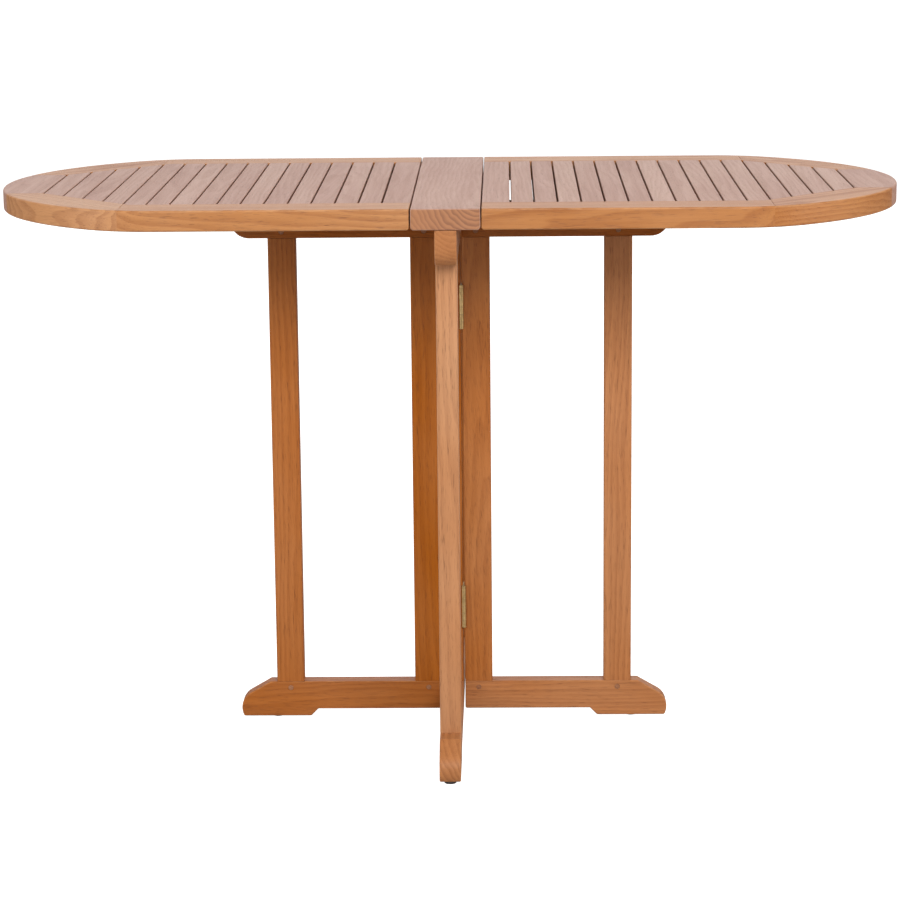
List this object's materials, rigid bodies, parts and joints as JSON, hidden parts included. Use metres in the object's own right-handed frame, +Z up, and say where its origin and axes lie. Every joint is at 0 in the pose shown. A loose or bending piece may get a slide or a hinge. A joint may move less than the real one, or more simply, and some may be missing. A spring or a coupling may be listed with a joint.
{
  "type": "gateleg table",
  "caption": "Folding table with a slatted oval top: a fixed centre frame and board, two hinged half-oval leaves, and two gates that swing out to carry them.",
  "frame": {"origin": "on the floor under the middle of the top", "axes": "+Z up, X along the length of the open top, Y across it and along the centre frame"},
  "size_m": [1.2, 0.632, 0.75],
  "materials": {
    "top_teak": "planed teak, lightly oiled, satin sheen",
    "rim_teak": "planed teak, lightly oiled",
    "frame_teak": "planed teak, oiled",
    "dowel_teak": "teak end grain",
    "hinge_brass": "dull rolled brass",
    "screw_steel": "zinc-plated, satin",
    "glide_plastic": "matt moulded plastic"
  },
  "bodies": {
    "root": {"centre_board": "top_teak", "centre_top_rail": "frame_teak", "centre_foot_rail": "frame_teak", "front_post": "frame_teak", "middle_post": "frame_teak", "rear_post": "frame_teak", "centre_dowels": "dowel_teak", "centre_glides": "glide_plastic", "board_screws": "screw_steel", "gate_hinge_fixed_plates": "hinge_brass", "gate_hinge_pins": "hinge_brass", "top_hinge_fixed_plates": "hinge_brass", "top_hinge_pins": "hinge_brass", "fixed_plate_screws": "screw_steel"},
    "left_leaf": {"left_hinge_board": "top_teak", "left_front_rail": "rim_teak", "left_rear_rail": "rim_teak", "left_front_corner": "rim_teak", "left_rear_corner": "rim_teak", "left_end_piece": "top_teak", "left_inner_slats": "top_teak", "left_slat_11": "top_teak", "left_slat_12": "top_teak", "left_slat_13": "top_teak", "left_slat_14": "top_teak", "left_slat_15": "top_teak", "left_gate_stop": "frame_teak", "left_top_hinge_plates": "hinge_brass", "left_leaf_screws": "screw_steel"},
    "left_gate": {"left_gate_inner_post": "frame_teak", "left_gate_outer_post": "frame_teak", "left_gate_top_rail": "frame_teak", "left_gate_foot_rail": "frame_teak", "left_gate_dowels": "dowel_teak", "left_gate_glide": "glide_plastic", "left_gate_hinge_plates": "hinge_brass", "left_gate_screws": "screw_steel"},
    "right_leaf": {"right_hinge_board": "top_teak", "right_front_rail": "rim_teak", "right_rear_rail": "rim_teak", "right_front_corner": "rim_teak", "right_rear_corner": "rim_teak", "right_end_piece": "top_teak", "right_inner_slats": "top_teak", "right_slat_11": "top_teak", "right_slat_12": "top_teak", "right_slat_13": "top_teak", "right_slat_14": "top_teak", "right_slat_15": "top_teak", "right_gate_stop": "frame_teak", "right_top_hinge_plates": "hinge_brass", "right_leaf_screws": "screw_steel"},
    "right_gate": {"right_gate_inner_post": "frame_teak", "right_gate_outer_post": "frame_teak", "right_gate_top_rail": "frame_teak", "right_gate_foot_rail": "frame_teak", "right_gate_dowels": "dowel_teak", "right_gate_glide": "glide_plastic", "right_gate_hinge_plates": "hinge_brass", "right_gate_screws": "screw_steel"}
  },
  "joints": [
    {"name": "left_gate_swing", "type": "hinge", "parent": "root", "child": "left_gate", "pos_m": [-0.015, 0.0135, 0.36], "axis": [0, 0, -1], "range_deg": [0, 90]},
    {"name": "right_gate_swing", "type": "hinge", "parent": "root", "child": "right_gate", "pos_m": [0.015, -0.0135, 0.36], "axis": [0, 0, -1], "range_deg": [0, 90]},
    {"name": "left_leaf_hinge", "type": "hinge", "parent": "root", "child": "left_leaf", "pos_m": [-0.0447, 0, 0.7265], "axis": [0, 1, 0], "range_deg": [0, 2.5]},
    {"name": "right_leaf_hinge", "type": "hinge", "parent": "root", "child": "right_leaf", "pos_m": [0.0447, 0, 0.7265], "axis": [0, -1, 0], "range_deg": [0, 2.5]}
  ]
}
